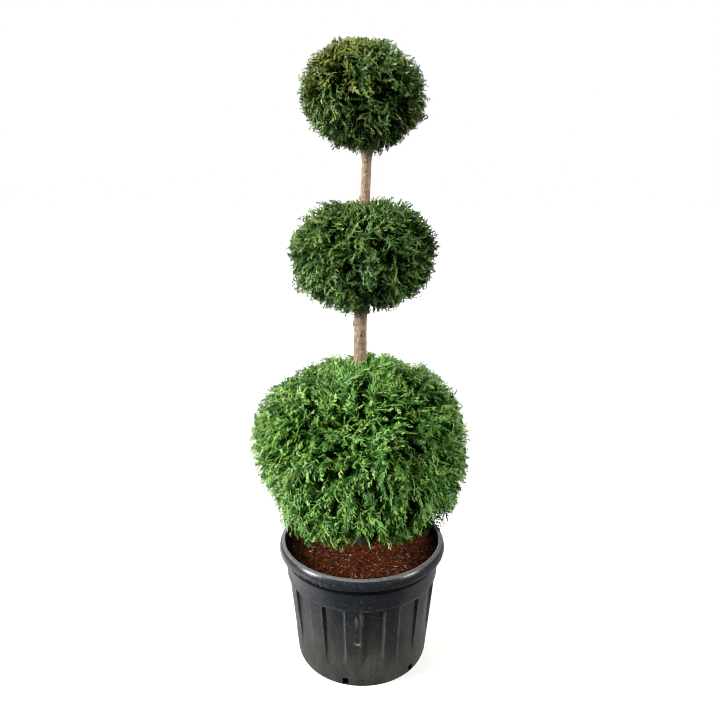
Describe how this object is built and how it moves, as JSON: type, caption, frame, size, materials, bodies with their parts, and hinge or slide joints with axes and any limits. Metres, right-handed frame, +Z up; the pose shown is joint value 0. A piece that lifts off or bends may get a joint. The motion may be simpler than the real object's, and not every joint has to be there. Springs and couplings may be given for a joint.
{
  "type": "potted arborvitae triple ball topiary",
  "caption": "Clipped evergreen topiary with foliage balls one above the other on a bare trunk, standing in a round ribbed nursery pot filled with bark soil.",
  "frame": {"origin": "centre of the pot's flat underside, which the plant stands on", "axes": "+Z up along the trunk, -Y the front of the plant as pictured, +X to the right in the picture"},
  "size_m": [0.6502, 0.6599, 1.7797],
  "materials": {
    "pot": "satin",
    "soil": "matte",
    "trunk": "matte",
    "foliage_lower": "matte",
    "foliage_middle": "matte",
    "foliage_top": "matte"
  },
  "bodies": {
    "root": {"pot": "pot", "soil": "soil", "trunk": "trunk", "foliage_lower": "foliage_lower", "foliage_middle": "foliage_middle", "foliage_top": "foliage_top"}
  },
  "joints": []
}
